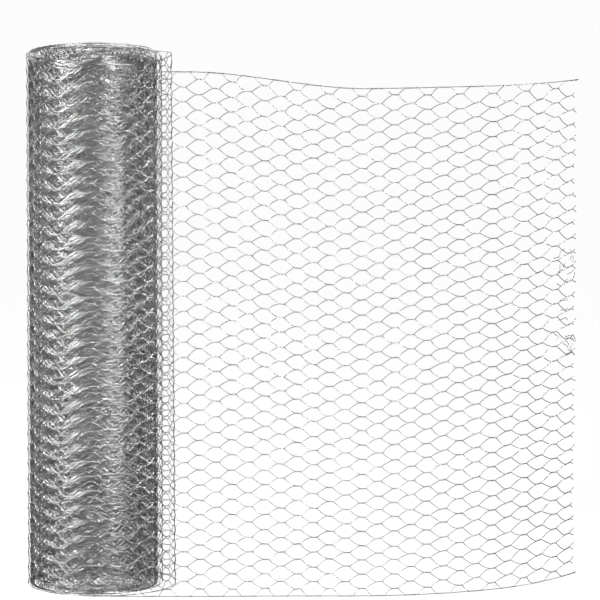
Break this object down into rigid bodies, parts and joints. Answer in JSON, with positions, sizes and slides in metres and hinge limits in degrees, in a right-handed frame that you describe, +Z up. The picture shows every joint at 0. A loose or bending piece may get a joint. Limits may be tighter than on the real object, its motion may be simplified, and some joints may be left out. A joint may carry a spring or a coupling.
{
  "type": "roll of chicken wire",
  "caption": "Standing roll of galvanised hexagonal wire netting with an open middle, its free end drawn out to one side as a see-through sheet that bends gently away.",
  "frame": {"origin": "middle of the bore on the floor, at the roll's lower end", "axes": "+Z up along the roll's axis, +X the way the free end runs, -Y the side that the free end leaves from"},
  "size_m": [0.9138, 0.2433, 0.9],
  "materials": {
    "galvanised_wire": "galvanised after weaving: dull silver-grey zinc with a faint spangle, brighter on the wire crests"
  },
  "bodies": {
    "root": {"roll": "galvanised_wire", "netting_at_roll": "galvanised_wire", "netting_middle": "galvanised_wire", "netting_far": "galvanised_wire", "netting_tip": "galvanised_wire"}
  },
  "joints": []
}
